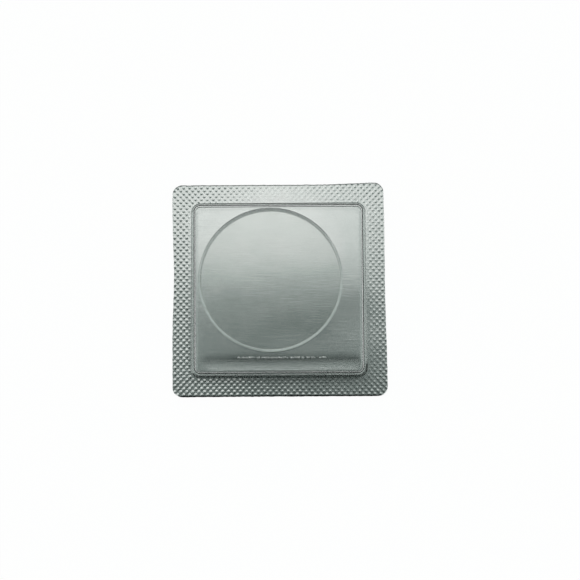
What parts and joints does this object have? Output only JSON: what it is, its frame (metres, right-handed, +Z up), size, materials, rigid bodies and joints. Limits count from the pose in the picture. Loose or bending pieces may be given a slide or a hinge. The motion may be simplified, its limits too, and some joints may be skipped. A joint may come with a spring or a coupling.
{
  "type": "watch crystal in blister pack",
  "caption": "Flat round watch crystal, loose in the square pocket of a clear blister shell that is heat-sealed to a foil backing.",
  "frame": {"origin": "middle of the backing foil's underside, at the table", "axes": "+Z up through the pocket's roof, +X to the pack's right, +Y to its back, where the shell hinges as it is peeled"},
  "size_m": [0.045, 0.045, 0.0038],
  "materials": {
    "mineral_glass": "polished flat faces and a polished bevel",
    "clear_sheet": "clear glossy thermoformed sheet, knurled at the flange",
    "foil": "satin rolled aluminium foil, knurled at the flange",
    "heat_seal": "thin clear lacquer, slightly milky where it has fused"
  },
  "bodies": {
    "backing": {"backing_foil": "foil", "seal_lacquer": "heat_seal"},
    "shell": {"blister_shell": "clear_sheet"},
    "glass": {"crystal": "mineral_glass"}
  },
  "joints": [
    {"name": "peel_open", "type": "hinge", "parent": "backing", "child": "shell", "pos_m": [0, 0.02249, 0.00043], "axis": [-1, 0, 0], "range_deg": [0, 145]},
    {"name": "crystal_slide", "type": "slide", "parent": "backing", "child": "glass", "axis": [0.7071, -0.7071, 0], "range_m": [-0.0004, 0.0058]}
  ]
}
